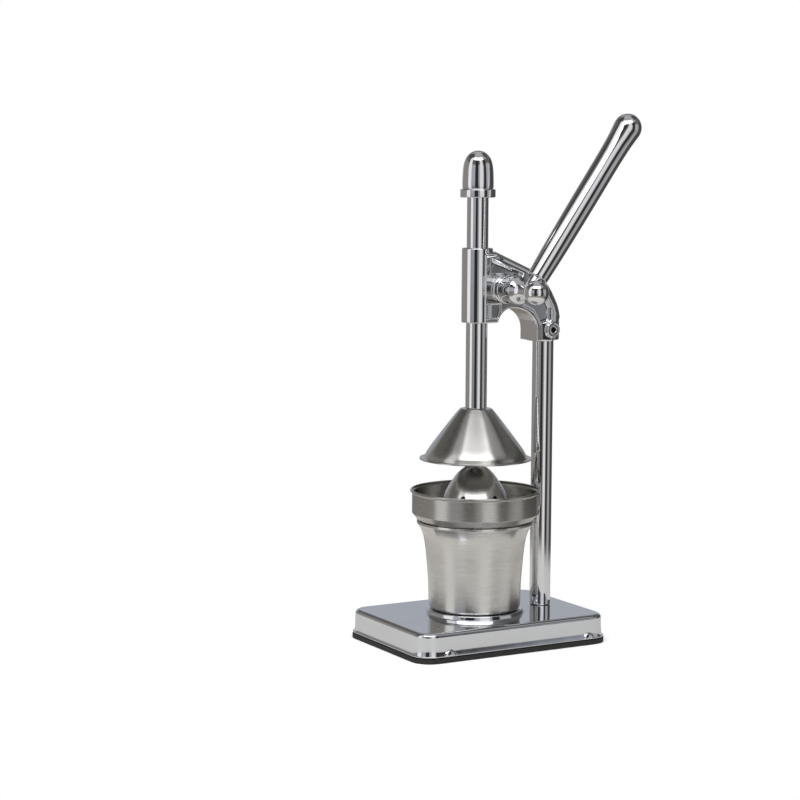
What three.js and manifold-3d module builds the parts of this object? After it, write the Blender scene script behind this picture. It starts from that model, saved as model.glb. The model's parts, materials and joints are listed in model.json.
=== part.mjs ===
// Lever-operated citrus press: a pressed base, a post, a cast head with a rack and pinion,
// a press rod with a bell, and a loose cup, bowl and reamer that stand under the bell.
// Millimetres, +Z up. The front (cup side) faces -Y, the lever is on the +X side.
// The origin is the middle of the base's underside.
import * as THREE from 'three';
import { mergeVertices } from 'three/addons/utils/BufferGeometryUtils.js';
import Module from 'manifold-3d';

const wasm = await Module();
wasm.setup();

// ---- Driving dimensions ----
const GAP = 0.3; // air left between pieces that touch
const SHEET = 1.5; // wall of the pressed and spun sheet pieces

const BASE = { halfX: 71, halfY: 101, corner: 17, top: 27, mat: 4.5, flange: 1.5, flangeOut: 1.3 };
const BASE_SCREW = { x: 67.6, y: [-72, 78], shank: 1.5, head: 3.1 };
const PLATEAU = { r: 45.5, top: 31 };

const PRESS_Y = -4; // axis of rod, bell, bowl and cup
const POST = { y: PRESS_Y + 73.5, r: 10, bore: 8.3, top: 305 };
const SLEEVE = { r: 14.4, low: 299.5, high: 368.5 };
const HEAD_HALF = 15; // half the width of the casting
const CLAMP = { low: 281, front: 57, back: 15 }; // front is measured from the press axis

const ROD = { r: 10, low: 219.7, high: 438 };
const CAP = { low: 415, high: 458, r: 14.5, flange: 16.4 };
const BELL = { top: 219.3, low: 171.7, rim: 52.4 };

const MODULE = 1.5; // gear module
const TEETH = 18;
const PITCH_R = (MODULE * TEETH) / 2;
const RACK_LINE = ROD.r - 1.5; // rack pitch line, measured from the rod's axis
const SHAFT = { y: PRESS_Y + RACK_LINE + PITCH_R, z: 330.5, r: 6, tail: -21.5, nose: 36 };
const GEAR_HALF = 8;
const BACKLASH = 0.3;

const HUB = { start: 20.6, r: 12.5, waist: 5.6, ball: 11.5, ballX: 67 };
const LEVER = { x: 62, offset: -4.3, lean: 35.5, foot: 15, tip: 196.4 };

const CUP = { low: PLATEAU.top + GAP, high: 114 };
const BOWL = { low: 104.8, high: 143.2, rim: 61.5, wall: 59.1, outlet: 30 };
const REAMER = { low: 114.4, apex: 166.7, holes: 6, holeZ: 138, holeR: 2.2, firstHole: 0.112 };

// ---- Solids ----
function toSolid(geometry) {
  const plain = geometry.clone();
  for (const name of Object.keys(plain.attributes)) {
    if (name !== 'position') plain.deleteAttribute(name);
  }
  const merged = mergeVertices(plain, 1e-4);
  const position = merged.attributes.position;
  const index = merged.index.array;
  const triangles = [];
  for (let i = 0; i < index.length; i += 3) {
    const [a, b, c] = [index[i], index[i + 1], index[i + 2]];
    if (a !== b && b !== c && c !== a) triangles.push(a, b, c);
  }
  if (signedVolume(position, triangles) < 0) triangles.reverse();
  return new wasm.Manifold(new wasm.Mesh({
    numProp: 3,
    vertProperties: new Float32Array(position.array),
    triVerts: new Uint32Array(triangles),
  }));
}

function signedVolume(position, triangles) {
  const [a, b, c] = [new THREE.Vector3(), new THREE.Vector3(), new THREE.Vector3()];
  let volume = 0;
  for (let i = 0; i < triangles.length; i += 3) {
    a.fromBufferAttribute(position, triangles[i]);
    b.fromBufferAttribute(position, triangles[i + 1]);
    c.fromBufferAttribute(position, triangles[i + 2]);
    volume += a.dot(b.cross(c)) / 6;
  }
  return volume;
}

function toGeometry(solid) {
  const mesh = solid.getMesh();
  const geometry = new THREE.BufferGeometry();
  geometry.setAttribute('position', new THREE.BufferAttribute(new Float32Array(mesh.vertProperties), 3));
  geometry.setIndex(new THREE.BufferAttribute(new Uint32Array(mesh.triVerts), 1));
  geometry.computeVertexNormals();
  return geometry;
}

const join = (first, ...others) => others.reduce((sum, solid) => sum.add(solid), first);
const cut = (first, ...tools) => tools.reduce((rest, tool) => rest.subtract(tool), first);

// A profile of [radius, height] points turned about +Z.
function turned(profile, segments = 24) {
  const points = profile.map(([r, z]) => new THREE.Vector2(r, z));
  return toSolid(new THREE.LatheGeometry(points, segments).rotateX(Math.PI / 2));
}

function disc(r, low, high, segments = 20) {
  return turned([[0, low], [r, low], [r, high], [0, high]], segments);
}

function ring(inner, outer, low, high, segments = 20) {
  return turned([[inner, low], [outer, low], [outer, high], [inner, high], [inner, low]], segments);
}

function moved(solid, x, y, z) {
  return solid.translate([x, y, z]);
}

// Lay a piece that was turned about +Z along +X.
const alongX = (solid) => solid.rotate([0, 90, 0]);

// An outline in (y, z) given thickness along X from low to high.
function plate(outline, low, high) {
  const shape = outline instanceof THREE.Shape
    ? outline
    : new THREE.Shape(outline.map(([y, z]) => new THREE.Vector2(y, z)));
  const geometry = new THREE.ExtrudeGeometry(shape, { depth: high - low, bevelEnabled: false, curveSegments: 6 });
  const axes = new THREE.Matrix4().makeBasis(
    new THREE.Vector3(0, 1, 0), new THREE.Vector3(0, 0, 1), new THREE.Vector3(1, 0, 0));
  return moved(toSolid(geometry.applyMatrix4(axes)), low, 0, 0);
}

function roundedRectangle(halfX, halfY, corner, z, perCorner = 4) {
  const points = [];
  const centres = [[1, 1, 0], [-1, 1, 1], [-1, -1, 2], [1, -1, 3]];
  for (const [sx, sy, quarter] of centres) {
    for (let i = 0; i <= perCorner; i += 1) {
      const angle = (quarter + i / perCorner) * (Math.PI / 2);
      const x = sx * (halfX - corner) + corner * Math.cos(angle);
      const y = sy * (halfY - corner) + corner * Math.sin(angle);
      points.push([x, y, z]);
    }
  }
  return points;
}

// Skin a stack of rings that have the same number of points; the first and last are capped.
function skinned(rings) {
  const count = rings[0].length;
  const vertices = rings.flat(2);
  const index = [];
  for (let level = 0; level + 1 < rings.length; level += 1) {
    for (let i = 0; i < count; i += 1) {
      const next = (i + 1) % count;
      const [a, b] = [level * count + i, level * count + next];
      const [c, d] = [a + count, b + count];
      index.push(a, b, d, a, d, c);
    }
  }
  for (let i = 1; i + 1 < count; i += 1) {
    const top = (rings.length - 1) * count;
    index.push(0, i + 1, i);
    index.push(top, top + i, top + i + 1);
  }
  const geometry = new THREE.BufferGeometry();
  geometry.setAttribute('position', new THREE.Float32BufferAttribute(vertices, 3));
  geometry.setIndex(index);
  return toSolid(geometry);
}

// ---- Materials ----
const finish = (color, roughness, metalness) => new THREE.MeshStandardMaterial({ color, roughness, metalness });
const chrome = () => finish(0xc9ccd0, 0.12, 1);
const brushedSteel = () => finish(0xb9b9b6, 0.35, 1);
const polishedSteel = () => finish(0xc4c4c2, 0.15, 1);
const zincSteel = () => finish(0x9a9da0, 0.4, 1);
const bronze = () => finish(0x9c7440, 0.4, 1);
const rubber = () => finish(0x151515, 0.8, 0);

function part(name, solid, material) {
  const mesh = new THREE.Mesh(toGeometry(solid), material);
  mesh.name = name;
  return mesh;
}

// ---- Base ----
function screwPlaces() {
  return BASE_SCREW.y.flatMap((y) => [[-BASE_SCREW.x, y], [BASE_SCREW.x, y]]);
}

// Rubber sheet under the base, countersunk for its screws.
function baseMat() {
  const [halfX, halfY] = [BASE.halfX + BASE.flangeOut + 0.2, BASE.halfY + BASE.flangeOut + 0.2];
  const sheet = skinned([
    roundedRectangle(halfX - 0.6, halfY - 0.6, BASE.corner + 0.6, 0),
    roundedRectangle(halfX, halfY, BASE.corner + 1.2, 0.8),
    roundedRectangle(halfX, halfY, BASE.corner + 1.2, BASE.mat - 0.4),
    roundedRectangle(halfX - 0.5, halfY - 0.5, BASE.corner + 0.7, BASE.mat),
  ]);
  const holes = screwPlaces().flatMap(([x, y]) => [
    moved(disc(BASE_SCREW.head + GAP, -1, 2.4, 16), x, y, 0),
    moved(disc(BASE_SCREW.shank + GAP, 0, BASE.mat + 1, 12), x, y, 0),
  ]);
  return cut(sheet, ...holes);
}

// Deep-drawn steel shell with an out-turned flange, a raised cup plateau and four screw bumps.
function baseShell() {
  const foot = BASE.mat + GAP;
  const level = (inset, z, cornerInset = inset) => roundedRectangle(
    BASE.halfX - inset, BASE.halfY - inset, BASE.corner - cornerInset, z);
  const shell = skinned([
    level(SHEET + 3, BASE.top - SHEET),
    level(SHEET + 0.9, BASE.top - SHEET - 1),
    level(SHEET + 0.3, BASE.top - SHEET - 3.2),
    level(SHEET - 0.4, foot),
    level(-BASE.flangeOut, foot),
    level(-BASE.flangeOut, foot + BASE.flange),
    level(-0.2, foot + BASE.flange),
    level(0.3, BASE.top - 3.4),
    level(0.9, BASE.top - 1.6),
    level(1.9, BASE.top - 0.5),
    level(3.4, BASE.top),
  ]);
  const { r, top } = PLATEAU;
  const plateau = turned([[0, BASE.top - 1], [r, BASE.top - 1], [r, BASE.top], [r - 0.4, top - 1],
    [r - 1.4, top], [0, top]], 30);
  const underPlateau = disc(r - 3, BASE.top - SHEET - 1, top - SHEET, 30);
  const dome = [[0, foot], [4.6, foot], [4.6, foot + 1.8], [3.9, foot + 3.8], [2.3, foot + 5.4], [0, foot + 6]];
  const bumps = screwPlaces().map(([x, y]) => moved(turned(dome, 12), x, y, 0));
  const screwHoles = screwPlaces().map(([x, y]) => moved(disc(BASE_SCREW.shank + GAP, 0, 9.6, 12), x, y, 0));
  return cut(
    join(shell, moved(plateau, 0, PRESS_Y, 0), ...bumps),
    moved(underPlateau, 0, PRESS_Y, 0),
    moved(disc(4.6, 20, BASE.top + 1, 16), 0, POST.y, 0),
    ...screwHoles,
  );
}

function baseScrew() {
  const { shank, head } = BASE_SCREW;
  return turned([[0, 1], [0.9, 0.9], [1.2, 0.6], [head - 0.5, 0.6], [head, 1.2], [head, 2.1], [shank, 2.1],
    [shank, 8.4], [0, 9.2]], 10);
}

// ---- Post ----
const POST_BOLT_R = 4;

function post() {
  const low = BASE.top + GAP;
  const plugTop = 60;
  return turned([[POST_BOLT_R + GAP, low], [POST.r - 0.8, low], [POST.r, low + 0.8], [POST.r, POST.top],
    [POST.bore, POST.top], [POST.bore, plugTop], [0, plugTop], [0, 52], [POST_BOLT_R + GAP, 52],
    [POST_BOLT_R + GAP, low]]);
}

function postBolt() {
  const seat = BASE.top - SHEET - 2 * GAP - 1.6;
  return join(disc(8.5, seat - 6, seat, 6), disc(POST_BOLT_R, seat - 1, 50, 16));
}

function postWasher() {
  const top = BASE.top - SHEET - GAP;
  return ring(POST_BOLT_R + GAP, 12, top - 1.6, top, 24);
}

// ---- Head casting ----
const PINION_CAVITY = PITCH_R + MODULE + 0.5;
const NEAR_BUSH = { low: 8.6, high: 19.6, r: 8.6 };
const CAP_BUSH = { low: -16.8, high: -8.5, flange: 18, flangeLow: -19.4 };
const SET_SCREW = { z: 291.2, r: 2.4, boss: 7.2, bossX: 18.6 };

// Side outline of the casting; y is measured from the press axis.
function headOutline() {
  const post = POST.y - PRESS_Y;
  const shape = new THREE.Shape();
  shape.moveTo(0, SLEEVE.low);
  shape.lineTo(14.2, SLEEVE.low);
  shape.quadraticCurveTo(19, 312.7, 30, 312.7);
  shape.bezierCurveTo(45, 312.7, CLAMP.front, 304, CLAMP.front, 291);
  shape.lineTo(CLAMP.front, CLAMP.low);
  shape.lineTo(post, CLAMP.low);
  shape.lineTo(post, 295);
  shape.lineTo(post + 11.5, 303);
  shape.bezierCurveTo(post + 11.5, 318, post + 5.5, 337.5, post - 19.5, 347.5);
  shape.lineTo(13, 365.2);
  shape.lineTo(0, 365.2);
  return shape;
}

function headPanels() {
  const upper = [[12, 343.8], [33, 343.8], [41, 341.5], [14, 354.5]];
  const lower = [[44, 314.5], [54.5, 308.5], [61.5, 297.5], [77, 300.5], [76, 312], [71.5, 320], [44, 321]];
  return [upper, lower].flatMap((outline) => [
    plate(outline, HEAD_HALF - 6, HEAD_HALF + 2),
    plate(outline, -HEAD_HALF - 2, -HEAD_HALF + 6),
  ]);
}

function headCasting() {
  const sleeve = moved(turned([[0, SLEEVE.low], [SLEEVE.r - 0.8, SLEEVE.low], [SLEEVE.r, SLEEVE.low + 0.8],
    [SLEEVE.r, SLEEVE.high - 0.8], [SLEEVE.r - 0.8, SLEEVE.high], [0, SLEEVE.high]]), 0, PRESS_Y, 0);
  const body = moved(cut(plate(headOutline(), -HEAD_HALF, HEAD_HALF), ...headPanels()), 0, PRESS_Y, 0);
  const clampBack = moved(turned([[0, CLAMP.low], [CLAMP.back, CLAMP.low], [CLAMP.back, 304], [11, 318],
    [0, 326]]), 0, POST.y, 0);
  const nearBoss = moved(alongX(disc(HUB.r + 0.1, 10, HUB.start - GAP, 24)), 0, SHAFT.y, SHAFT.z);
  const farBoss = moved(alongX(disc(CAP_BUSH.flange, -17, -8, 24)), 0, SHAFT.y, SHAFT.z);
  const screwBoss = moved(alongX(disc(SET_SCREW.boss, 8, SET_SCREW.bossX, 20)), 0, POST.y, SET_SCREW.z);
  return cut(
    join(body, sleeve, clampBack, nearBoss, farBoss, screwBoss),
    moved(disc(ROD.r + GAP, SLEEVE.low - 5, SLEEVE.high + 5, 24), 0, PRESS_Y, 0),
    moved(disc(POST.r + GAP, CLAMP.low - 5, POST.top + 1, 24), 0, POST.y, 0),
    moved(alongX(disc(PINION_CAVITY, -20, GEAR_HALF + 0.4, 24)), 0, SHAFT.y, SHAFT.z),
    moved(alongX(disc(NEAR_BUSH.r + GAP, 0, 30, 24)), 0, SHAFT.y, SHAFT.z),
    moved(alongX(disc(SET_SCREW.r + GAP, 5, 30, 16)), 0, POST.y, SET_SCREW.z),
  );
}

function setScrew() {
  const end = 13.6;
  const socket = alongX(disc(1.3, end - 2.2, end + 1, 6));
  return cut(alongX(disc(SET_SCREW.r, POST.r + GAP, end, 16)), socket);
}

function nearBush() {
  return alongX(ring(SHAFT.r + GAP, NEAR_BUSH.r, NEAR_BUSH.low, NEAR_BUSH.high, 24));
}

// Flanged bush that closes the wide bore through which the pinion is put in.
function capBush() {
  const bore = SHAFT.r + GAP;
  const plug = PINION_CAVITY - GAP;
  const { low, high, flange, flangeLow } = CAP_BUSH;
  return alongX(turned([[bore, flangeLow], [flange - 1, flangeLow], [flange, flangeLow + 1], [flange, -17.3],
    [plug, -17.3], [plug, high], [bore, high], [bore, low], [bore, flangeLow]]));
}

// ---- Pinion shaft ----
// Flank of an involute tooth as [radius, angle from the tooth's middle] pairs.
function toothFlank() {
  const pressure = THREE.MathUtils.degToRad(20);
  const base = PITCH_R * Math.cos(pressure);
  const tip = PITCH_R + 0.9 * MODULE;
  const involute = (r) => (r > base ? Math.sqrt((r / base) ** 2 - 1) - Math.acos(base / r) : 0);
  const halfAtPitch = (Math.PI * MODULE / 2 - BACKLASH / 2) / (2 * PITCH_R);
  const root = PITCH_R - 1.25 * MODULE;
  const steps = 4;
  const flank = [[root, halfAtPitch + involute(PITCH_R) + 0.012]];
  for (let i = 0; i <= steps; i += 1) {
    const r = base + ((tip - base) * i) / steps;
    flank.push([r, halfAtPitch + involute(PITCH_R) - involute(r)]);
  }
  return flank;
}

function pinion() {
  const flank = toothFlank();
  const tooth = [...flank.map(([r, a]) => [r, -a]), ...flank.map(([r, a]) => [r, a]).reverse()];
  const outline = [];
  for (let i = 0; i < TEETH; i += 1) {
    const middle = Math.PI + (i * 2 * Math.PI) / TEETH; // one tooth points straight at the rack
    for (const [r, a] of tooth) outline.push([r * Math.cos(middle + a), r * Math.sin(middle + a)]);
  }
  return plate(outline, -GEAR_HALF, GEAR_HALF);
}

const TAPPED = { r: 2.8, depth: 12 }; // hole in the shaft's tail for its screw

function pinionShaft() {
  const { r, tail, nose } = SHAFT;
  const spindle = alongX(turned([[0, tail + TAPPED.depth], [TAPPED.r, tail + TAPPED.depth], [TAPPED.r, tail],
    [r - 0.6, tail], [r, tail + 0.6], [r, nose - 0.6], [r - 0.6, nose], [0, nose]], 24));
  return join(spindle, pinion());
}

function shaftWasher() {
  return alongX(ring(TAPPED.r, 9.5, SHAFT.tail - 1.9, SHAFT.tail - GAP, 24));
}

function shaftScrew() {
  const seat = SHAFT.tail - 1.9 - GAP;
  const shank = TAPPED.r - GAP;
  return cut(
    alongX(turned([[0, seat - 3.4], [3, seat - 3.4], [5, seat - 1.6], [5, seat], [shank, seat],
      [shank, SHAFT.tail + 9], [0, SHAFT.tail + 10]], 12)),
    alongX(disc(1.6, seat - 5, seat - 1.6, 6)),
  );
}

// ---- Lever ----
// The lever's pieces are built with the lever's own axis along +Z and its foot near the origin.
const LEVER_PLACE = new THREE.Matrix4()
  .makeRotationX(-THREE.MathUtils.degToRad(LEVER.lean))
  .setPosition(LEVER.x, LEVER.offset / Math.cos(THREE.MathUtils.degToRad(LEVER.lean)), 0);
const STUB = { r: 6.2, top: 34 };

function leverHub() {
  const { start, r, waist, ball, ballX } = HUB;
  const ballStart = Math.asin(waist / ball);
  const waistX = ballX - ball * Math.cos(ballStart);
  const taper = new THREE.CubicBezierCurve(
    new THREE.Vector2(r - 1.2, start + 20), new THREE.Vector2(r - 5, start + 23.5),
    new THREE.Vector2(waist, start + 30), new THREE.Vector2(waist, waistX));
  const profile = [[0, start], [r - 0.8, start], [r, start + 0.8], [r, start + 18.2], [r - 0.7, start + 19.2],
    ...taper.getPoints(6).map((point) => [point.x, point.y])];
  const ballSteps = 9;
  for (let i = 1; i < ballSteps; i += 1) {
    const turn = ballStart + ((Math.PI - ballStart) * i) / ballSteps;
    profile.push([ball * Math.sin(turn), ballX - ball * Math.cos(turn)]);
  }
  const body = alongX(turned([...profile, [0, ballX + ball]]));
  const stub = disc(STUB.r, 2, STUB.top, 20).transform(LEVER_PLACE.toArray());
  return cut(
    join(body, stub),
    alongX(disc(SHAFT.r + GAP, start - 5, SHAFT.nose + 0.5, 24)),
    moved(disc(2.8, -20, 0, 12), 30, 0, 0),
  );
}

function hubScrew() {
  return moved(cut(disc(2.5, -12, -SHAFT.r - GAP, 12), disc(1.2, -14, -9.5, 6)), 30, 0, 0);
}

function leverHandle() {
  const { foot, tip } = LEVER;
  const bore = STUB.r + GAP;
  const outside = [[9.3, foot], [9.6, foot + 1], [10.5, 44], [11, 79], [11.2, 113], [11.2, 150], [11.5, 164],
    [12.3, 174], [13.2, 181.5], [13, 185], [11.3, 189.3], [8, 193.4], [4, 195.7], [0, tip]];
  const body = turned([[0, STUB.top + 1], [bore, STUB.top + 1], [bore, foot], ...outside], 20);
  return body.transform(LEVER_PLACE.toArray());
}

// ---- Press rod, cap and bell ----
const ROD_STUD = { r: 4.7, low: 206 };

function pressRod() {
  const bar = turned([[0, ROD_STUD.low], [ROD_STUD.r, ROD_STUD.low], [ROD_STUD.r, ROD.low], [ROD.r - 0.6, ROD.low],
    [ROD.r, ROD.low + 0.6], [ROD.r, ROD.high], [0, ROD.high]]);
  const pitch = Math.PI * MODULE;
  const root = RACK_LINE - 1.25 * MODULE;
  const slope = Math.tan(THREE.MathUtils.degToRad(20));
  const outer = ROD.r + 2;
  const halfGap = (y) => pitch / 4 + BACKLASH / 4 + (y - RACK_LINE) * slope;
  const [gapsBelow, gapsAbove] = [4, 8];
  const gaps = [];
  for (let i = -gapsBelow; i <= gapsAbove; i += 1) {
    const z = SHAFT.z + i * pitch;
    gaps.push(plate([[root, z - halfGap(root)], [outer, z - halfGap(outer)], [outer, z + halfGap(outer)],
      [root, z + halfGap(root)]], -ROD.r - 1, ROD.r + 1));
  }
  const tips = RACK_LINE + 0.9 * MODULE;
  const flatLow = SHAFT.z - (gapsBelow + 0.5) * pitch;
  const flatHigh = SHAFT.z + (gapsAbove + 0.5) * pitch;
  const flat = plate([[tips, flatLow], [outer, flatLow], [outer, flatHigh], [tips, flatHigh]], -ROD.r, ROD.r);
  return cut(bar, flat, ...gaps);
}

function rodCap() {
  const { low, high, r, flange } = CAP;
  const bore = ROD.r + GAP;
  return turned([[bore, low], [flange - 0.6, low], [flange, low + 0.8], [flange, low + 7.4],
    [flange - 0.8, low + 8.3], [r, low + 8.6], [r, high - 26], [r - 0.6, high - 16], [r - 2.3, high - 8.7],
    [r - 4.4, high - 5.2], [r - 7.6, high - 2.4], [3.4, high - 0.6], [0, high],
    [0, ROD.high + GAP], [bore, ROD.high + GAP], [bore, low]]);
}

function pressBell() {
  const { top, low, rim } = BELL;
  const hole = ROD_STUD.r + GAP;
  const outside = [[hole, top], [13.6, top], [15.2, top - 0.7], [16.8, top - 2.2], [18.8, top - 4.7],
    [21.4, top - 7.9], [24, top - 11.2], [31, top - 20.3], [38, top - 29.7], [44.8, top - 39.4], [47.6, top - 44.4],
    [48.6, low + 1.3], [rim, low + 1.2], [rim, low]];
  const inside = [[47.8, low], [46.2, top - 44.4], [43.5, top - 39.9], [36.8, top - 30.4], [29.8, top - 21],
    [22.8, top - 12], [20.2, top - 8.7], [17.6, top - 5.5], [15.8, top - 3.3], [14.4, top - 2], [hole, top - 1.5],
    [hole, top]];
  return turned([...outside, ...inside], 28);
}

function bellWasher() {
  const high = BELL.top - 2.3;
  return ring(ROD_STUD.r + GAP, 10.5, high - 1.5, high, 24);
}

function bellNut() {
  const high = BELL.top - 4.1;
  return cut(disc(8.8, high - 7.5, high, 6), disc(ROD_STUD.r + GAP, high - 9, high + 1, 16));
}

// ---- Cup, bowl and reamer ----
function juiceCup() {
  const { low, high } = CUP;
  return turned([[0, low], [40.6, low], [42.4, low + 1.2], [43.3, low + 3.6], [43.5, 47], [43.8, 57], [44.6, 67],
    [45.3, 76], [46.2, 86], [47.4, 94], [48.6, 99.6], [51, 105.5], [53.8, 110.8], [54.7, 111.8], [54.7, high - 0.7],
    [54, high], [53.3, high], [53, 112], [52.4, 110.8], [49.6, 105.5], [47.2, 99.8], [46, 94.2], [44.8, 86],
    [44, 76], [43.3, 67], [42.5, 57], [42.2, 47], [41.9, low + 4.4], [40.6, low + 2], [39, low + SHEET],
    [0, low + SHEET]], 28);
}

function juiceBowl() {
  const { low, high, rim, wall, outlet } = BOWL;
  return turned([[outlet, low], [44.6, low], [47, low + 1], [52.6, 113.4], [58.4, 120.4], [wall, 121.6],
    [wall, high - 2.8], [60, high - 2.5], [rim, high - 1.9], [rim, high - 0.6], [rim - 0.6, high],
    [58.2, high], [57.7, high - 0.6], [57.7, 122], [57.3, 121.1], [51.6, 114.2], [46.2, low + 2],
    [44.4, low + SHEET], [outlet, low + SHEET], [outlet, low]], 28);
}

function reamer() {
  const { low, apex, holes, holeZ, holeR, firstHole } = REAMER;
  const outside = [[51.2, low], [51.2, low + 1.3], [42, low + 1.6], [39.6, low + 4], [35, 127.5], [31, 136.2],
    [26.5, 144], [21.4, 152], [17, 158], [11.5, 163], [5.5, 165.9], [0, apex]];
  const inside = [[0, apex - 1.4], [5, 164.6], [10.5, 161.8], [15.7, 157.2], [20.2, 151.2], [25.3, 143.3],
    [29.7, 135.6], [33.7, 127], [38.3, low + 3.2], [41, low], [51.2, low]];
  const shell = turned([...outside.slice().reverse(), ...inside.slice(0, -1).reverse()]);
  const drills = [];
  for (const [count, z, turn] of [[holes, holeZ, firstHole], [2 * holes, 124.5, 0]]) {
    for (let i = 0; i < count; i += 1) {
      const drill = alongX(disc(holeR, 20, 50, 6));
      drills.push(moved(drill.rotate([0, 0, ((i + turn) * 360) / count]), 0, 0, z));
    }
  }
  return cut(shell, ...drills);
}

// ---- Assembly ----
function baseGroup() {
  const group = new THREE.Group();
  group.add(part('base_mat', baseMat(), rubber()), part('base_shell', baseShell(), chrome()));
  screwPlaces().forEach(([x, y], i) => {
    const screw = part(`base_screw_${i + 1}`, baseScrew(), zincSteel());
    screw.position.set(x, y, 0);
    group.add(screw);
  });
  return group;
}

function postGroup() {
  const group = new THREE.Group();
  group.position.y = POST.y;
  group.add(part('post', post(), chrome()), part('post_bolt', postBolt(), zincSteel()));
  group.add(part('post_washer', postWasher(), zincSteel()));
  const screw = part('head_set_screw', setScrew(), zincSteel());
  screw.position.z = SET_SCREW.z;
  group.add(screw);
  return group;
}

// Shaft, bushes, hub and handle, all placed from the shaft's axis.
function shaftGroup() {
  const group = new THREE.Group();
  group.position.set(0, SHAFT.y, SHAFT.z);
  group.add(part('shaft_bush_near', nearBush(), bronze()), part('shaft_bush_cap', capBush(), chrome()));
  group.add(part('pinion_shaft', pinionShaft(), zincSteel()), part('shaft_washer', shaftWasher(), zincSteel()));
  group.add(part('shaft_screw', shaftScrew(), zincSteel()), part('lever_hub', leverHub(), chrome()));
  group.add(part('hub_grub_screw', hubScrew(), zincSteel()), part('lever_handle', leverHandle(), chrome()));
  return group;
}

function pressGroup() {
  const group = new THREE.Group();
  group.position.y = PRESS_Y;
  group.add(part('press_rod', pressRod(), chrome()), part('rod_cap', rodCap(), chrome()));
  group.add(part('press_bell', pressBell(), brushedSteel()), part('bell_washer', bellWasher(), zincSteel()));
  group.add(part('bell_nut', bellNut(), zincSteel()), part('juice_cup', juiceCup(), brushedSteel()));
  group.add(part('juice_bowl', juiceBowl(), brushedSteel()), part('reamer', reamer(), polishedSteel()));
  return group;
}

const press = new THREE.Group();
press.add(baseGroup(), postGroup(), part('head_casting', headCasting(), chrome()), shaftGroup(), pressGroup());

export default press;
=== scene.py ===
import json
import math

import bmesh
import bpy
import numpy as np
from mathutils import Matrix, Vector


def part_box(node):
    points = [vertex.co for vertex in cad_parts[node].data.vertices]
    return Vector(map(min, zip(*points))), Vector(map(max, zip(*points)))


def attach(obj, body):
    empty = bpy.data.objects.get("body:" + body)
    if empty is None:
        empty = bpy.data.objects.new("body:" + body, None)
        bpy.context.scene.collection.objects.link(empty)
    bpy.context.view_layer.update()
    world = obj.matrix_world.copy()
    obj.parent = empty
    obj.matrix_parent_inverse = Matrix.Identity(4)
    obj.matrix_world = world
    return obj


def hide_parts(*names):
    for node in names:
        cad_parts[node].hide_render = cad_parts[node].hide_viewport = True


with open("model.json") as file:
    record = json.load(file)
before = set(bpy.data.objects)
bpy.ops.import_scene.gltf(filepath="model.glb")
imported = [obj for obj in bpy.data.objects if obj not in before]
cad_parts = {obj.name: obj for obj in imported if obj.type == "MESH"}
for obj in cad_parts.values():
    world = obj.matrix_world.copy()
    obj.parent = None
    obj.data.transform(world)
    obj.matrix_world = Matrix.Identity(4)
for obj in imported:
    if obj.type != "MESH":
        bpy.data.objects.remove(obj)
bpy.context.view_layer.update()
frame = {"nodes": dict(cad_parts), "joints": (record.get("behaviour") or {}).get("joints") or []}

# ---- Rubber mat ----------------------------------------------------------------------------
# A flat sheet of black rubber under the whole base, moulded with a soft edge that stands a
# little proud of the steel. Four screws in sunk holes hold it.

MM = 0.001
CORNER_STEPS = 16


def eased(corners, steps=6):
    """Rounds each corner that carries a third number, its radius, with a true arc."""
    line = []
    for i, corner in enumerate(corners):
        here = Vector(corner[:2])
        if len(corner) == 2:
            line.append(tuple(here))
            continue
        back = (Vector(corners[i - 1][:2]) - here).normalized()
        ahead = (Vector(corners[(i + 1) % len(corners)][:2]) - here).normalized()
        half = back.angle(ahead) / 2
        centre = here + (back + ahead).normalized() * corner[2] / math.sin(half)
        first = here + back * corner[2] / math.tan(half) - centre
        last = here + ahead * corner[2] / math.tan(half) - centre
        sweep = math.pi - 2 * half
        for step in range(steps + 1):
            share = step / steps
            arm = first * math.sin((1 - share) * sweep) + last * math.sin(share * sweep)
            line.append(tuple(centre + arm / math.sin(sweep)))
    return line


def rounded_ring(half_x, half_y, corner, z, long_stops, short_stops):
    """Points round a rectangle with round corners. Stops run from -1 to 1 along a straight side."""
    ring = []
    for quarter in range(4):
        angle = quarter * math.pi / 2
        out = Vector((math.cos(angle), math.sin(angle)))
        along = Vector((-math.sin(angle), math.cos(angle)))
        across, reach = (half_x, half_y - corner) if quarter % 2 == 0 else (half_y, half_x - corner)
        stops = long_stops if quarter % 2 == 0 else short_stops
        ring += [out * across + along * reach * stop for stop in stops]
        centre = out * (across - corner) + along * reach
        for step in range(1, CORNER_STEPS):
            turn = angle + step / CORNER_STEPS * math.pi / 2
            ring.append(centre + corner * Vector((math.cos(turn), math.sin(turn))))
    return [(point.x, point.y, z) for point in ring]


def skin(rings, joined=False):
    """Faces between rings of equal count; a ring of one point is a pole, and open ends are capped."""
    vertices, starts = [], []
    for ring in rings:
        starts.append(len(vertices))
        vertices += ring
    faces = []
    pairs = [(i, i + 1) for i in range(len(rings) - 1)]
    if joined:
        pairs.append((len(rings) - 1, 0))
    for low, high in pairs:
        count = max(len(rings[low]), len(rings[high]))
        for i in range(count if count > 1 else 0):
            j = (i + 1) % count
            below = [starts[low]] if len(rings[low]) == 1 else [starts[low] + i, starts[low] + j]
            above = [starts[high]] if len(rings[high]) == 1 else [starts[high] + j, starts[high] + i]
            faces.append(below + above)
    if not joined:
        for k in (0, -1):
            if len(rings[k]) > 1:
                faces.append([starts[k] + i for i in range(len(rings[k]))])
    return vertices, faces


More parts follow.
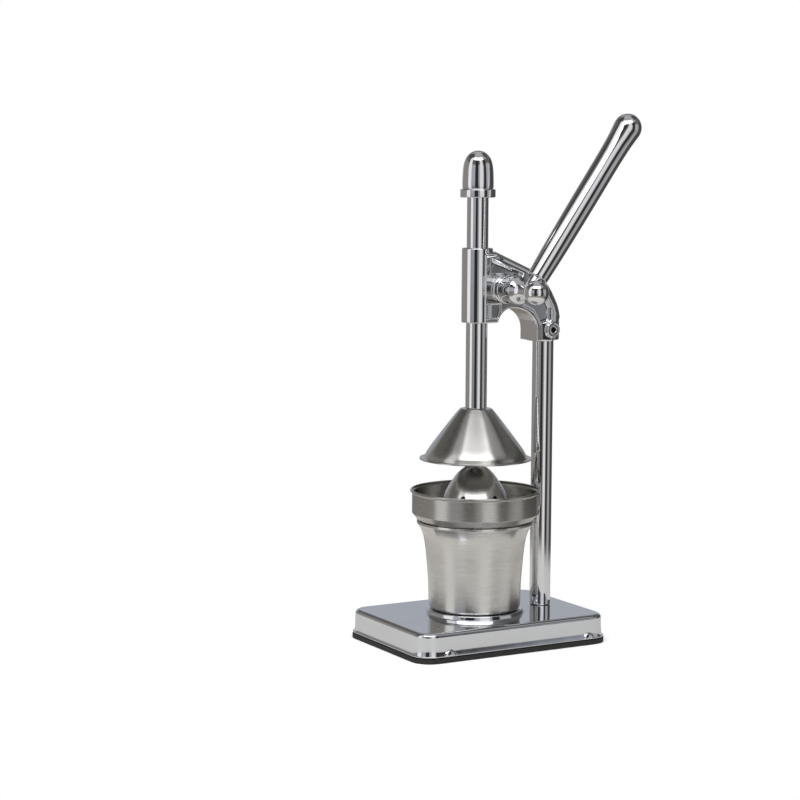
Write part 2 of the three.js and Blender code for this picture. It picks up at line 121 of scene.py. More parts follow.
def as_mesh(name, shape):
    """A closed mesh in metres from a shape in millimetres, with its faces turned outwards."""
    vertices, faces = shape
    mesh = bpy.data.meshes.new(name)
    mesh.from_pydata([tuple(c * MM for c in v) for v in vertices], [], faces)
    edit = bmesh.new()
    edit.from_mesh(mesh)
    bmesh.ops.remove_doubles(edit, verts=edit.verts, dist=1e-7)
    bmesh.ops.recalc_face_normals(edit, faces=edit.faces)
    edit.to_mesh(mesh)
    edit.free()
    return mesh


def carved(mesh, *tools, operation="DIFFERENCE"):
    """The mesh after each tool has been cut away from it, or joined to it."""
    for tool in tools:
        work = bpy.data.objects.new("work", mesh)
        other = bpy.data.objects.new("tool", as_mesh("tool", tool))
        for thing in (work, other):
            bpy.context.scene.collection.objects.link(thing)
        change = work.modifiers.new("cut", "BOOLEAN")
        change.operation = operation
        change.solver = "MANIFOLD"
        change.object = other
        bpy.context.view_layer.update()
        mesh = bpy.data.meshes.new_from_object(work.evaluated_get(bpy.context.evaluated_depsgraph_get()))
        for thing in (work, other):
            bpy.data.objects.remove(thing)
    return mesh


def fit(name, mesh, material, body, slot, *nodes, edge_angle=32):
    """Puts a finished mesh on its body, with its finish, in place of its design solids."""
    mesh.name = name
    mesh.materials.clear()
    mesh.materials.append(material)
    mesh.polygons.foreach_set("use_smooth", [True] * len(mesh.polygons))
    mesh.set_sharp_from_angle(angle=math.radians(edge_angle))
    piece = bpy.data.objects.new(name, mesh)
    bpy.context.scene.collection.objects.link(piece)
    shading = piece.modifiers.new("even_shading", "WEIGHTED_NORMAL")
    shading.keep_sharp = True
    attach(piece, body)
    if nodes:
        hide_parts(*nodes)
    return piece


def place(shape, x=0, y=0, z=0, turn=None):
    """A shape moved, after an optional turning matrix."""
    vertices, faces = shape
    matrix = Matrix.Translation((x, y, z)) @ (turn or Matrix.Identity(4))
    return [tuple(matrix @ Vector(v)) for v in vertices], faces


def turned(outline, steps=96):
    """Turns (radius, height) points about the z axis."""
    rings = []
    for radius, height in outline:
        if radius < 1e-6:
            rings.append([(0, 0, height)])
        else:
            rings.append([(radius * math.cos(a), radius * math.sin(a), height)
                          for a in (2 * math.pi * i / steps for i in range(steps))])
    return skin(rings, joined=outline[0][0] > 1e-6)


def disc(radius, low, high, steps=48):
    return turned([(0, low), (radius, low), (radius, high), (0, high)], steps)


def add(tree, kind, inputs=None, **settings):
    """A shader node with its settings; each input is a value or another node's output."""
    made = tree.nodes.new("ShaderNode" + kind)
    for name, value in settings.items():
        setattr(made, name, value)
    for key, value in (inputs or {}).items():
        if isinstance(value, bpy.types.NodeSocket):
            tree.links.new(value, made.inputs[key])
        else:
            made.inputs[key].default_value = value
    return made


def start_finish(name, **constants):
    """An empty finish: its tree, its surface shader and the place of each point in metres."""
    material = bpy.data.materials.new(name)
    material.use_nodes = True
    tree = material.node_tree
    surface = tree.nodes["Principled BSDF"]
    for key, value in constants.items():
        surface.inputs[key.replace("_", " ")].default_value = value
    where = add(tree, "TexCoord").outputs["Object"]
    return material, tree, surface, where


def spread(tree, value, low, high, start=0.3, end=0.7):
    """Stretches a noise value over low to high."""
    return add(tree, "MapRange", {0: value, 1: start, 2: end, 3: low, 4: high}).outputs[0]


def blend_colour(tree, share, first, second):
    return add(tree, "Mix", {0: share, 6: (*first, 1), 7: (*second, 1)}, data_type="RGBA").outputs[2]


def noise(tree, where, scale, detail=3, roughness=0.55):
    values = {"Vector": where, "Scale": scale, "Detail": detail, "Roughness": roughness}
    return add(tree, "TexNoise", values).outputs[0]


def rubber_finish():
    material, tree, surface, where = start_finish("black_rubber", Metallic=0.0)
    grain = noise(tree, where, 1400, 2)
    cloud = noise(tree, where, 26, 4)
    colour = blend_colour(tree, cloud, (0.012, 0.012, 0.013), (0.030, 0.029, 0.028))
    tree.links.new(colour, surface.inputs["Base Color"])
    tree.links.new(spread(tree, cloud, 0.5, 0.72), surface.inputs["Roughness"])
    bump = add(tree, "Bump", {"Strength": 0.5, "Distance": 0.00012, "Height": grain})
    tree.links.new(bump.outputs[0], surface.inputs["Normal"])
    return material


base_low, base_high = (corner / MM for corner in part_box("base_shell"))
mat_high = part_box("base_mat")[1] / MM
BASE_CORNER = 17
FLANGE_OUT = 1.3
half_x = base_high.x - FLANGE_OUT
half_y = base_high.y - FLANGE_OUT
screw_boxes = [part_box(f"base_screw_{n}") for n in (1, 2, 3, 4)]
screw_places = [(low + high) / 2 / MM for low, high in screw_boxes]
BOSS = {"radius": 4.6, "half_width": 6.0, "height": 6.5, "proud": 1.4}
reach = half_y - BASE_CORNER
close_stops = {round(side * (abs(p.y) + step * 0.7) / reach, 4)
               for p in screw_places for step in range(-9, 10) for side in (-1, 1)}
long_stops = sorted({stop for stop in close_stops if abs(stop) < 1} | {i / 20 - 1 for i in range(41)})
short_stops = [i / 14 - 1 for i in range(29)]


def base_ring(out, z):
    """One level of the base, out millimetres outside the nominal wall."""
    return rounded_ring(half_x + out, half_y + out, BASE_CORNER + out, z, long_stops, short_stops)


mat_out = mat_high.x - half_x
mat_edge = eased([(mat_out, 0, 0.7), (mat_out, mat_high.z, 0.5), (mat_out - 3, mat_high.z), (mat_out - 3, 0)])
mat_edge = [point for point in mat_edge if point[0] > mat_out - 2]
mat_mesh = as_mesh("mat", skin([base_ring(out, z) for out, z in mat_edge]))
screw_wells = []
for p in screw_places:
    screw_wells += [place(disc(3.4, -1, 2.4, 32), p.x, p.y), place(disc(1.8, 0, 6, 24), p.x, p.y)]
rubber = rubber_finish()
fit("rubber_mat", carved(mat_mesh, *screw_wells), rubber, "frame", "rubber", "base_mat")

# ---- Base shell ----------------------------------------------------------------------------
# Deep-drawn steel sheet, polished and chrome plated: walls that flare towards their foot, a
# rounded top edge, an out-turned flange, four small screw bosses and a raised seat for the cup.

SHEET = 1.5
PLATEAU = {"foot": 46.3, "edge": 45.2, "top": base_high.z}
press_y = (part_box("press_rod")[0].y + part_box("press_rod")[1].y) / 2 / MM
post_y = (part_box("post")[0].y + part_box("post")[1].y) / 2 / MM
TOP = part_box("post")[0].z / MM - 0.3
flange_z = base_low.z


def with_bosses(ring, inside=False):
    """Swells a wall level round the four screws."""
    boss_x = abs(screw_places[0].x)
    shaped = []
    for x, y, z in ring:
        height = min(1, (z - flange_z) / BOSS["height"])
        for p in screw_places:
            if x * p.x < 0 or abs(x) < boss_x - BOSS["radius"]:
                continue
            width = BOSS["radius"] if inside else BOSS["half_width"]
            swell = math.sqrt(max(0, 1 - height ** 2 - ((y - p.y) / width) ** 2))
            if swell:
                room = max(0, half_x + BOSS["proud"] - abs(x))
                edge = min(abs(x), boss_x - width * swell) if inside else abs(x) + room * swell
                x = math.copysign(edge, x)
        shaped.append((x, y, z))
    return shaped


def seat_ring(radius, z):
    """A ring about the press axis with one point for each point of a base level."""
    ring = []
    for x, y, _ in base_ring(0, 0):
        arm = Vector((x, y - press_y)).normalized() * radius
        ring.append((arm.x, press_y + arm.y, z))
    return ring


WALL_IN, FOOT_FLARE, FLARE_FADE = 1.1, 1.2, 4
flange_top = flange_z + 1.6
wall_heights = [flange_z + 1.9 + 0.4 * i for i in range(13)] + [13, 15]
outer_edge = eased([(FLANGE_OUT, flange_z, 0.5), (FLANGE_OUT, flange_top, 0.7), (0.1, flange_top)])
outer_edge += [(FOOT_FLARE * math.exp((flange_top - z) / FLARE_FADE) - WALL_IN, z) for z in wall_heights]
outer_edge += eased([(-1.05, 17), (-1.15, TOP, 4.0), (-8, TOP)], steps=12)
outer_wall = [with_bosses(base_ring(out, z)) for out, z in outer_edge]
plateau_edge = eased([(60, TOP), (PLATEAU["foot"], TOP, 0.8), (PLATEAU["edge"], PLATEAU["top"], 1.1),
                      (40, PLATEAU["top"])])[1:]
plateau = [seat_ring(radius, z) for radius, z in plateau_edge]
under_edge = [(40, PLATEAU["top"] - SHEET), (43.3, PLATEAU["top"] - SHEET), (44.3, TOP - SHEET)]
under_plateau = [seat_ring(radius, z) for radius, z in under_edge]
inner_edge = eased([(-9, TOP - SHEET), (-SHEET - 0.9, TOP - SHEET, 2.2), (-SHEET - 0.1, flange_z)])
inner_wall = [with_bosses(base_ring(out, z), inside=True) for out, z in inner_edge[:-1]]
inner_wall += [with_bosses(base_ring(-SHEET - 0.1, z), inside=True) for z in (11, 9.5, 8, 6.5, flange_z)]
levels = [[(0, press_y, PLATEAU["top"])], *reversed(plateau), *reversed(outer_wall), *reversed(inner_wall),
          *reversed(under_plateau), [(0, press_y, PLATEAU["top"] - SHEET)]]
shell_mesh = carved(as_mesh("shell", skin(levels)), place(disc(4.6, 20, 30), 0, post_y),
                    *[place(disc(1.8, 0, 9.6, 24), p.x, p.y) for p in screw_places])


def chrome_finish(name, roughness=0.06, ripple=0.0, ripple_scale=60, tint=(0.83, 0.84, 0.86)):
    """Chrome plate: faint wiping haze, hair scratches, and on castings a slow ripple."""
    material, tree, surface, where = start_finish(name, Metallic=1.0)
    haze = noise(tree, where, 34, 5, 0.6)
    streaked = add(tree, "Mapping", {0: where, 3: (900, 760, 120)}).outputs[0]
    scratch = noise(tree, streaked, 1, 2)
    dull = tuple(c * 0.93 for c in tint)
    tree.links.new(blend_colour(tree, haze, tint, dull), surface.inputs["Base Color"])
    wiped = spread(tree, haze, roughness * 0.6, roughness * 1.5)
    lined = add(tree, "Math", {0: wiped, 1: spread(tree, scratch, 0, 0.03, 0.6, 0.8)}, operation="ADD")
    tree.links.new(lined.outputs[0], surface.inputs["Roughness"])
    fine = add(tree, "Bump", {"Strength": 0.12, "Distance": 0.00001, "Height": scratch}).outputs[0]
    if ripple:
        swell = noise(tree, where, ripple_scale, 1)
        waves = {"Strength": 1.0, "Distance": ripple, "Height": swell, "Normal": fine}
        fine = add(tree, "Bump", waves).outputs[0]
    tree.links.new(fine, surface.inputs["Normal"])
    return material


chrome_sheet = chrome_finish("chrome_sheet", 0.07, 0.00010, 45, (0.80, 0.82, 0.86))
fit("chrome_base", shell_mesh, chrome_sheet, "frame", "chrome", "base_shell")

# ---- Base screws ---------------------------------------------------------------------------
# Four zinc-plated pan-head screws with cross slots, put in from below through the mat.


def zinc_finish():
    material, tree, surface, where = start_finish("zinc_plate", Metallic=1.0)
    crystal = noise(tree, where, 420, 4, 0.7)
    bloom = noise(tree, where, 60, 3)
    colour = blend_colour(tree, bloom, (0.52, 0.54, 0.58), (0.66, 0.65, 0.60))
    tree.links.new(colour, surface.inputs["Base Color"])
    tree.links.new(spread(tree, crystal, 0.26, 0.46), surface.inputs["Roughness"])
    bump = add(tree, "Bump", {"Strength": 0.3, "Distance": 0.00003, "Height": crystal})
    tree.links.new(bump.outputs[0], surface.inputs["Normal"])
    return material


def bar(half_sides, low, high):
    """A square-cornered bar about the z axis."""
    a, b = half_sides
    return skin([[(a, b, z), (-a, b, z), (-a, -b, z), (a, -b, z)] for z in (low, high)])


def hexagon(radius, low, high):
    return turned([(0, low), (radius, low), (radius, high), (0, high)], 6)


zinc = zinc_finish()
for n, p in enumerate(screw_places, 1):
    low, high = (corner.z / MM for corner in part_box(f"base_screw_{n}"))
    outline = eased([(0, low), (3.1, low, 0.9), (3.1, 2.1), (1.5, 2.1), (1.5, high, 0.5), (0, high)])
    slots = [bar((1.7, 0.35), low - 1, low + 0.9), bar((0.35, 1.7), low - 1, low + 0.9)]
    screw = carved(as_mesh("screw", turned(outline, 40)), *slots)
    screw.transform(Matrix.Translation((p.x * MM, p.y * MM, 0)))
    fit(f"mat_screw_{n}", screw, zinc, "frame", "zinc_steel", f"base_screw_{n}")

# ---- Post ----------------------------------------------------------------------------------
# Seamless steel tube, drawn, polished and chrome plated. Its plugged foot stands on the base and a
# bolt from below pulls it down; the bolt and its washer stay out of sight inside the base.

post_low, post_high = (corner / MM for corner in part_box("post"))
POST_R = (post_high.x - post_low.x) / 2
foot, head = post_low.z, post_high.z
outline = eased([(4.3, foot), (POST_R, foot, 0.9), (POST_R, head, 0.5), (8.3, head), (8.3, 60), (0, 60)])
outline = [(0, 52), (4.3, 52), *outline]
chrome_tube = chrome_finish("chrome_tube", 0.075)
fit("chrome_post", as_mesh("post", place(turned(outline), 0, post_y)), chrome_tube, "frame", "chrome", "post")


def recoat(material, *nodes):
    """Gives design solids that stay as they are their finish."""
    for node in nodes:
        for holder in frame["nodes"][node].material_slots:
            holder.material = material


def blackened_finish():
    material, tree, surface, where = start_finish("blackened_steel", Metallic=1.0)
    bloom = noise(tree, where, 300, 4, 0.7)
    colour = blend_colour(tree, bloom, (0.020, 0.020, 0.022), (0.045, 0.043, 0.042))
    tree.links.new(colour, surface.inputs["Base Color"])
    tree.links.new(spread(tree, bloom, 0.34, 0.5), surface.inputs["Roughness"])
    return material


recoat(zinc, "post_bolt", "post_washer", "bell_washer")
recoat(blackened_finish(), "head_set_screw", "hub_grub_screw")

# ---- Head casting --------------------------------------------------------------------------
# Zinc die casting, polished and chrome plated: a sleeve for the rod, a web that arches back to a
# clamp round the post, bosses for the shaft and the clamping screw, and sunk panels in both sides.

CELL = 0.7
HALF = 15
head_low, head_high = (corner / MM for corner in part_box("head_casting"))
lever_joint = next(joint for joint in frame["joints"] if joint["name"] == "lever_turn")
shaft = Vector(lever_joint["pos_m"]) / MM
post_reach = post_y - press_y
shaft_y = shaft.y - press_y
set_screw = (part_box("head_set_screw")[0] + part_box("head_set_screw")[1]) / 2 / MM


def bend(points, steps=8):
    """A Bezier curve through its control points."""
    curve = []
    for i in range(1, steps + 1):
        t = i / steps
        level = [Vector(p) for p in points]
        while len(level) > 1:
            level = [a.lerp(b, t) for a, b in zip(level, level[1:])]
        curve.append(tuple(level[0]))
    return curve


back_y = post_reach + 11.5
web_outline = [(-6, 299.5), (14.2, 299.5)]
web_outline += bend([(14.2, 299.5), (19, 312.7), (30, 312.7)])
web_outline += bend([(30, 312.7), (45, 312.7), (57, 304), (57, 291)])
web_outline += [(57, 281), (post_reach, 281), (post_reach, 295), (back_y, 303)]
web_outline += bend([(back_y, 303), (back_y, 318), (back_y - 6, 337.5), (back_y - 31, 347.5)])
web_outline += [(13, 365.2), (-6, 365.2)]
upper_panel = [(7, 344), (33, 344), (40, 342), (41.5, 344.2), (7, 358)]
lower_panel = [(43, 315), (54.5, 309), (62, 297.5), (72.5, 300.5), (72.5, 311), (68, 320.5), (47, 326)]
sleeve_panel = [(2, 303.5), (14.5, 303.5), (17.5, 310), (17, 317), (2, 317)]


def outline_distance(points, y, z):
    """Distance to a closed outline, below zero inside it."""
    nearest = np.full(np.broadcast_shapes(y.shape, z.shape), 1e9)
    inside = np.zeros(nearest.shape, bool)
    for (y0, z0), (y1, z1) in zip(points, points[1:] + points[:1]):
        run, rise = y1 - y0, z1 - z0
        share = np.clip(((y - y0) * run + (z - z0) * rise) / (run ** 2 + rise ** 2), 0, 1)
        nearest = np.minimum(nearest, (y - y0 - run * share) ** 2 + (z - z0 - rise * share) ** 2)
        if rise:
            inside ^= ((z0 <= z) != (z1 <= z)) & (y - y0 < run * (z - z0) / rise)
    return np.where(inside, -1, 1) * np.sqrt(nearest)


def overlap(a, b, radius):
    """What two solids share, with the edge between them rounded."""
    corner = np.hypot(np.maximum(radius + a, 0), np.maximum(radius + b, 0))
    return np.minimum(-radius, np.maximum(a, b)) + corner


def joined(a, b, radius):
    """Two solids joined with a fillet."""
    return -overlap(-a, -b, radius)


def cylinder(across, along, radius, low, high, edge):
    """A cylinder with rounded rims."""
    return overlap(across - radius, np.maximum(low - along, along - high), edge)


def head_solid(x, y, z):
    """Signed distance to the casting; y is measured from the press axis."""
    side = np.abs(x)
    border = 1.6 + 3.4 * np.clip((z - 322 + 0.2 * y) / 14, 0, 1)
    border = border + 8 * np.clip((y - 56) / 10, 0, 1) * np.clip((z - 298) / 6, 0, 1)
    web = overlap(outline_distance(web_outline, y, z), side - HALF, border)
    web = overlap(web, -y, 0.2)
    web = overlap(web, -overlap(outline_distance(sleeve_panel, y, z), 13 - side, 1.0), 0.8)
    solid = joined(web, cylinder(np.hypot(x, y), z, 14.4, 299.5, 368.5, 1.0), 0.8)
    to_post = np.hypot(x, y - post_reach)
    dome = np.hypot(to_post, np.maximum(z - 300, 0) * 0.62) - HALF
    solid = joined(solid, overlap(dome, 281 - z, 1.2), 3.0)
    for panel, depth, rim in ((upper_panel, 9.5, 2.2), (lower_panel, 10.5, 1.8)):
        pocket = overlap(outline_distance(panel, y, z), depth - side, 1.6)
        solid = overlap(solid, -pocket, rim)
    to_shaft = np.hypot(y - shaft_y, z - shaft.z)
    solid = joined(solid, cylinder(to_shaft, x, 12.6, 5, 20.2, 0.9), 0.8)
    solid = joined(solid, cylinder(to_shaft, -x, 18, 5, 17, 0.8), 2.0)
    to_screw = np.hypot(y - set_screw.y + press_y, z - set_screw.z)
    solid = joined(solid, cylinder(to_screw, x, 7.2, 8, 18.5, 1.1), 1.0)
    solid = overlap(solid, 10.3 - np.hypot(x, y), 0.7)
    solid = overlap(solid, -cylinder(to_post, z, 10.3, 270, 306, 0.5), 0.7)
    solid = overlap(solid, -cylinder(to_shaft, x, 15.5, -30, 8.4, 0.4), 0.5)
    solid = overlap(solid, -cylinder(to_shaft, x, 8.9, 0, 30, 0.4), 0.5)
    return overlap(solid, -cylinder(to_screw, x, 2.7, 5, 30, 0.3), 0.8)


def crossings(field):
    """One point in each cell that the surface passes through, and the faces that join them."""
    shape = tuple(n - 1 for n in field.shape)
    total, count = np.zeros((*shape, 3)), np.zeros(shape)
    within = field < 0
    for axis in range(3):
        others = [a for a in range(3) if a != axis]
        for first in (0, 1):
            for second in (0, 1):
                cut = [None] * 3
                cut[others[0]] = slice(first, shape[others[0]] + first)
                cut[others[1]] = slice(second, shape[others[1]] + second)
                near, far = list(cut), list(cut)
                near[axis], far[axis] = slice(0, shape[axis]), slice(1, shape[axis] + 1)
                a, b = field[tuple(near)], field[tuple(far)]
                crossed = within[tuple(near)] != within[tuple(far)]
                total[..., axis] += np.where(crossed, a / np.where(crossed, a - b, 1), 0)
                total[..., others[0]] += first * crossed
                total[..., others[1]] += second * crossed
                count += crossed
    cells = np.argwhere(count > 0)
    number = np.full(shape, -1)
    number[tuple(cells.T)] = np.arange(len(cells))
    points = cells + total[tuple(cells.T)] / count[tuple(cells.T)][:, None]
    faces = []
    for axis in range(3):
        u, v = (axis + 1) % 3, (axis + 2) % 3
        step_u, step_v = np.eye(3, dtype=int)[u], np.eye(3, dtype=int)[v]
        low, high = [slice(None)] * 3, [slice(None)] * 3
        low[axis], high[axis] = slice(0, -1), slice(1, None)
        edges = np.argwhere(within[tuple(low)] != within[tuple(high)])
        corners = [edges - step_u - step_v, edges - step_v, edges, edges - step_u]
        quads = np.stack([number[tuple(c.T)] for c in corners], 1)
        flip = ~within[tuple(low)][tuple(edges.T)]
        quads[flip] = quads[flip][:, ::-1]
        faces.append(quads)
    return points, np.concatenate(faces)


def cast_shape(solid, low, high, cell):
    """Turns a signed distance into a mesh whose points lie on the true surface."""
    axes = [np.arange(a - 2 * cell, b + 2 * cell, cell) for a, b in zip(low, high)]
    field = solid(axes[0][:, None, None], axes[1][None, :, None], axes[2][None, None, :])
    points, faces = crossings(field)
    points = points * cell + np.array([axis[0] for axis in axes])
    for _ in range(3):
        here = solid(*points.T)
        slope = np.stack([(solid(*(points + d).T) - solid(*(points - d).T)) / 0.1
                          for d in np.eye(3) * 0.05], 1)
        step = here[:, None] * slope / np.maximum((slope ** 2).sum(1), 0.2)[:, None]
        points = points - np.clip(step, -cell / 2, cell / 2)
    return [tuple(p) for p in points], faces.tolist()


head_from = (head_low.x, head_low.y - press_y, head_low.z)
head_to = (head_high.x, head_high.y - press_y, head_high.z)
head_shape = place(cast_shape(head_solid, head_from, head_to, CELL), 0, press_y)
chrome_cast = chrome_finish("chrome_cast", 0.06, 0.00008, 42)
fit("head", as_mesh("head", head_shape), chrome_cast, "frame", "chrome", "head_casting", edge_angle=60)

# ---- Shaft bushes --------------------------------------------------------------------------
# A plain bronze bush on the lever side, and on the far side a chromed flange bush that closes the
# bore through which the pinion is put in. Both are pressed into the head.


def lying(shape):
    """Lays a piece that was turned about z along the shaft's axis."""
    return place(shape, 0, shaft.y, shaft.z, Matrix.Rotation(math.pi / 2, 4, "Y"))


def bronze_finish():
    material, tree, surface, where = start_finish("bearing_bronze", Metallic=1.0)
    grain = noise(tree, where, 700, 3)
    stain = noise(tree, where, 120, 3)
    colour = blend_colour(tree, stain, (0.50, 0.33, 0.16), (0.36, 0.22, 0.11))
    tree.links.new(colour, surface.inputs["Base Color"])
    tree.links.new(spread(tree, grain, 0.28, 0.5), surface.inputs["Roughness"])
    bump = add(tree, "Bump", {"Strength": 0.3, "Distance": 0.00003, "Height": grain})
    tree.links.new(bump.outputs[0], surface.inputs["Normal"])
    return material


near_low, near_high = (corner.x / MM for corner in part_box("shaft_bush_near"))
near_outline = eased([(6.3, near_low), (8.6, near_low), (8.6, near_high, 0.4), (6.3, near_high, 0.4)])
near_bush = as_mesh("near_bush", lying(turned(near_outline, 64)))
fit("bronze_bush", near_bush, bronze_finish(), "frame", "bronze", "shaft_bush_near")
cap_low, cap_high = (corner.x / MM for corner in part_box("shaft_bush_cap"))
cap_outline = eased([(6.3, cap_high), (6.3, cap_low, 0.4), (17, cap_low, 0.4), (18, cap_low + 1.0, 0.4),
                     (18, -17.3), (15.2, -17.3), (15.2, cap_high)])
cap_bush = as_mesh("cap_bush", lying(turned(cap_outline)))
chrome_turned = chrome_finish("chrome_turned", 0.05)
fit("flange_bush", cap_bush, chrome_turned, "frame", "chrome", "shaft_bush_cap")

# ---- Pinion shaft, washer and screw --------------------------------------------------------
# Hardened steel shaft with the pinion cut on it. A washer and a screw on the far side keep it in.

steel_low, steel_high = (corner.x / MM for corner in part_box("shaft_washer"))
washer_outline = eased([(2.8, steel_low), (9.5, steel_low, 0.5), (9.5, steel_high, 0.3), (2.8, steel_high)])
end_washer = as_mesh("washer", lying(turned(washer_outline, 64)))
fit("shaft_end_washer", end_washer, zinc, "lever", "zinc_steel", "shaft_washer")
seat = steel_low - 0.3
screw_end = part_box("shaft_screw")[1].x / MM
screw_outline = eased([(0, seat - 3.4), (3.6, seat - 3.4, 1.4), (5, seat - 1.4, 0.6), (5, seat),
                       (2.5, seat), (2.5, screw_end, 0.5), (0, screw_end)])
end_screw = as_mesh("end_screw", lying(turned(screw_outline, 56)))
end_screw = carved(end_screw, lying(hexagon(1.7, seat - 5, seat - 1.6)))
fit("shaft_end_screw", end_screw, zinc, "lever", "zinc_steel", "shaft_screw")
recoat(zinc, "pinion_shaft")

# ---- Lever hub -----------------------------------------------------------------------------
# Turned steel arm, chrome plated: a collar over the shaft's end, a waisted neck and a ball that
# carries the handle's stub. A grub screw under the collar locks it to the shaft.

hub_low, hub_high = (corner.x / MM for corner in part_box("lever_hub"))
BALL = 11.5
WAIST = 5.6
COLLAR = 12.5
STUB = 6.2
HANDLE_X = 62
HANDLE_BEHIND = -4.3
HANDLE_LEAN = math.radians(35.5)
ball_x = hub_high - BALL
ball_turn = math.asin(WAIST / BALL)
neck = bend([(COLLAR - 1.4, hub_low + 20), (COLLAR - 5, hub_low + 23), (WAIST, hub_low + 29),
             (WAIST, ball_x - BALL * math.cos(ball_turn))], 16)
collar = eased([(6.3, hub_low + 15.7), (6.3, hub_low), (COLLAR, hub_low, 0.9), (COLLAR, hub_low + 18.6, 0.9),
                (COLLAR - 1.4, hub_low + 20)])
ball = [(BALL * math.sin(a), ball_x - BALL * math.cos(a))
        for a in (ball_turn + (math.pi - ball_turn) * i / 28 for i in range(1, 28))]
hub_outline = [(0, hub_low + 15.7), *collar, *neck, *ball, (0, hub_high)]
handle_turn = Matrix.Rotation(-HANDLE_LEAN, 4, "X")
handle_place = {"x": HANDLE_X, "y": shaft.y + HANDLE_BEHIND / math.cos(HANDLE_LEAN), "z": shaft.z,
                "turn": handle_turn}
stub = place(disc(STUB, 2, 34), **handle_place)
hub_mesh = carved(as_mesh("hub", lying(turned(hub_outline))), stub, operation="UNION")
hub_mesh = carved(hub_mesh, place(disc(2.8, -20, 0, 32), 30, shaft.y, shaft.z))
fit("hub", hub_mesh, chrome_cast, "lever", "chrome", "lever_hub")

# ---- Handle --------------------------------------------------------------------------------
# Long tapering steel grip, turned and chrome plated, swelling to a rounded end. It is pushed over
# the hub's stub.


def flowing(points, steps=6):
    """A smooth curve through all of its points."""
    line = []
    full = [Vector(points[0]) * 2 - Vector(points[1]), *map(Vector, points),
            Vector(points[-1]) * 2 - Vector(points[-2])]
    for a, b, c, d in zip(full, full[1:], full[2:], full[3:]):
        for i in range(steps):
            t = i / steps
            line.append(tuple(0.5 * (2 * b + (c - a) * t + (2 * a - 5 * b + 4 * c - d) * t ** 2
                                     + (3 * b - a - 3 * c + d) * t ** 3)))
    return [*line, tuple(points[-1])]


grip = flowing([(9.7, 16.5), (10.5, 44), (11, 79), (11.2, 113), (11.3, 145), (11.7, 164), (12.5, 175),
                (13.1, 181.7), (12.6, 186.2), (11.1, 189.7), (8.2, 193.0), (4.4, 195.3), (0, 196.0)])
handle_outline = [(0, 35), (6.5, 35), *eased([(6.5, 15), (9.6, 15, 1.0), (9.7, 16.5)])[:-1], *grip]
handle_mesh = as_mesh("handle", place(turned(handle_outline), **handle_place))
fit("handle", handle_mesh, chrome_turned, "lever", "chrome", "lever_handle")

# ---- Press rod -----------------------------------------------------------------------------
# Ground and chromed steel bar. A rack is milled into its back, facing the pinion, and a turned-down
# stud at its foot takes the bell.

MODULE = 1.5
PITCH = math.pi * MODULE
BACKLASH = 0.3
TEETH_BELOW, TEETH_ABOVE = 4, 8
rod_low, rod_high = (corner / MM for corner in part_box("press_rod"))
ROD_R = rod_high.x
ROD_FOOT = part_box("press_bell")[1].z / MM + 0.4
rack_line = ROD_R - MODULE
ROOT = rack_line - 1.25 * MODULE
TIP = rack_line + 0.9 * MODULE


def rod_section(radius, z, depth):
    """Round section with its back cut flat at depth, always of the same number of points."""
    flat = math.asin(min(depth, radius * 0.9999) / radius)
    fixed = math.asin(ROOT / ROD_R)
    arc = [math.pi - fixed + (math.pi + 2 * fixed) * i / 72 for i in range(73)]
    sliver = [fixed + (flat - fixed) * i / 5 for i in range(1, 6)]
    angles = [math.pi - a for a in reversed(sliver)] + arc + sliver
    ring = [(radius * math.cos(a), radius * math.sin(a), z) for a in angles]
    half = radius * math.cos(flat)
    chord = [(half - 2 * half * i / 6, radius * math.sin(flat), z) for i in range(1, 6)]
    return ring + chord


def tooth_gap(y):
    return PITCH / 4 + BACKLASH / 4 + (y - rack_line) * math.tan(math.radians(20))


flat_low = shaft.z - (TEETH_BELOW + 0.5) * PITCH
flat_high = shaft.z + (TEETH_ABOVE + 0.5) * PITCH
sections = [rod_section(radius, z, ROD_R) for radius, z in
            eased([(4.7, rod_low.z), (4.7, ROD_FOOT), (ROD_R, ROD_FOOT, 0.6), (ROD_R, flat_low)])]
sections.append(rod_section(ROD_R, flat_low, TIP))
for i in range(-TEETH_BELOW, TEETH_ABOVE + 1):
    middle = shaft.z + i * PITCH
    for side, depths in ((-1, (TIP, ROOT)), (1, (ROOT, TIP))):
        sections += [rod_section(ROD_R, middle + side * tooth_gap(y), y) for y in depths]
sections += [rod_section(ROD_R, flat_high, TIP), rod_section(ROD_R, flat_high, ROD_R),
             rod_section(ROD_R, rod_high.z, ROD_R)]
rod_mesh = as_mesh("rod", place(skin(sections), 0, press_y))
chrome_bar = chrome_finish("chrome_bar", 0.07)
fit("press_bar", rod_mesh, chrome_bar, "ram", "chrome", "press_rod")

# ---- Rod cap -------------------------------------------------------------------------------
# Domed stop with a collar, turned from steel and chrome plated, screwed on the top of the rod.

cap_foot, cap_top = (corner.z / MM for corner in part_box("rod_cap"))
CAP_R = 14.5
CAP_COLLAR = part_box("rod_cap")[1].x / MM
dome = flowing([(CAP_R, cap_foot + 9.4), (CAP_R, cap_top - 27), (13.9, cap_top - 16), (12.2, cap_top - 8.7),
                (9.7, cap_top - 4.6), (6.4, cap_top - 1.8), (3.2, cap_top - 0.5), (0, cap_top)])
cap_collar = eased([(10.3, cap_foot), (CAP_COLLAR, cap_foot, 1.1), (CAP_COLLAR, cap_foot + 7.6, 1.3),
                    (CAP_R - 0.5, cap_foot + 8.0, 0.3), (CAP_R, cap_foot + 9.4)])
inside = [(0, rod_high.z + 0.3), (10.3, rod_high.z + 0.3)]
rod_cap = as_mesh("rod_cap", place(turned([*inside, *cap_collar[:-1], *dome]), 0, press_y))
fit("dome_cap", rod_cap, chrome_turned, "ram", "chrome", "rod_cap")

